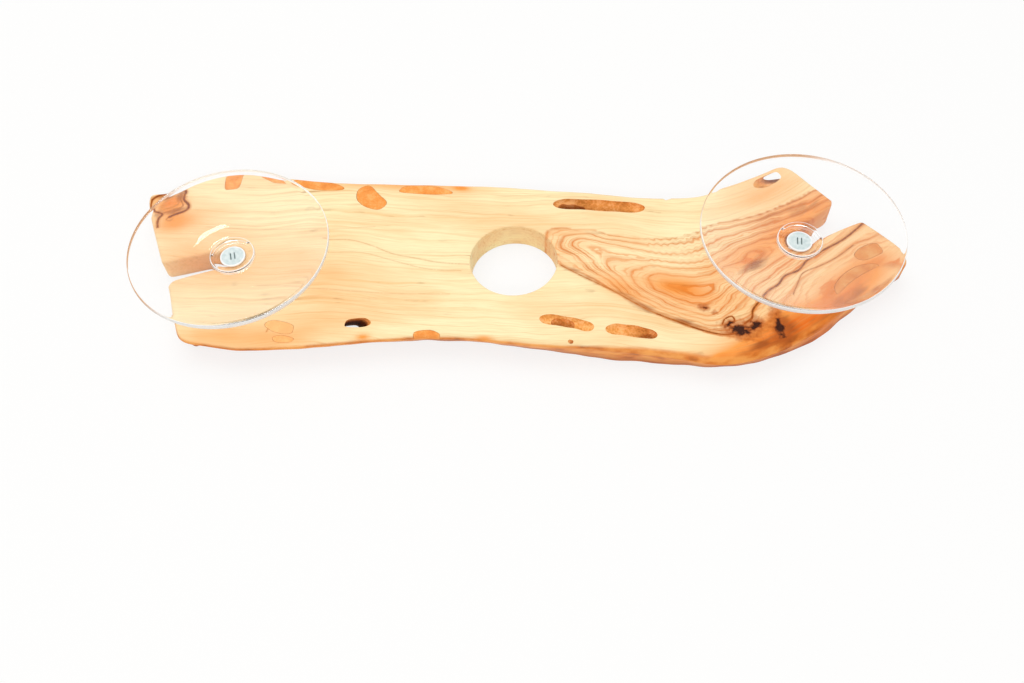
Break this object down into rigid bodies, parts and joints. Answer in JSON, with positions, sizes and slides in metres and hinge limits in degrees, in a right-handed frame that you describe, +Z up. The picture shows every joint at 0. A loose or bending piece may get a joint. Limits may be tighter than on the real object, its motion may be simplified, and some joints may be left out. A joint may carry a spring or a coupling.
{
  "type": "wine glass holder",
  "caption": "Live-edge olive-wood board with a bore that drops over a bottle's neck and an open slot at each end, where a stemmed glass hangs upside down by its foot.",
  "frame": {"origin": "on the axis of the bore, in the plane of the underside", "axes": "+X along the board, to the right as pictured; +Y towards the far edge; +Z up out of the top face"},
  "size_m": [0.2927, 0.0961, 0.0199],
  "materials": {
    "olive_wood": "sanded smooth, lightly oiled",
    "wood_fill": "sanded flush",
    "clear_foot": "clear and polished",
    "pale_stem": "pale, satin"
  },
  "bodies": {
    "board": {"board": "olive_wood", "far_edge_fill_1": "wood_fill", "far_edge_fill_2": "wood_fill", "far_edge_fill_3": "wood_fill", "far_edge_fill_4": "wood_fill", "far_edge_fill_5": "wood_fill", "front_edge_fill_1": "wood_fill", "front_edge_fill_2": "wood_fill", "front_edge_fill_3": "wood_fill", "right_prong_fill_1": "wood_fill", "right_prong_fill_2": "wood_fill"},
    "left_stem": {"left_glass_stem": "pale_stem", "left_glass_cap": "pale_stem"},
    "left_foot": {"left_glass_foot": "clear_foot"},
    "right_stem": {"right_glass_stem": "pale_stem", "right_glass_cap": "pale_stem"},
    "right_foot": {"right_glass_foot": "clear_foot"}
  },
  "joints": [
    {"name": "left_glass_slide", "type": "slide", "parent": "board", "child": "left_stem", "axis": [-0.9636, -0.2672, 0], "range_m": [0, 0.065]},
    {"name": "left_foot_spin", "type": "hinge", "parent": "left_stem", "child": "left_foot", "pos_m": [-0.1073, 0.0042, 0.011], "axis": [0, 0, 1], "continuous": true},
    {"name": "right_glass_slide", "type": "slide", "parent": "board", "child": "right_stem", "axis": [0.8241, 0.5664, 0], "range_m": [0, 0.065]},
    {"name": "right_foot_spin", "type": "hinge", "parent": "right_stem", "child": "right_foot", "pos_m": [0.108, 0.0042, 0.011], "axis": [0, 0, 1], "continuous": true}
  ]
}
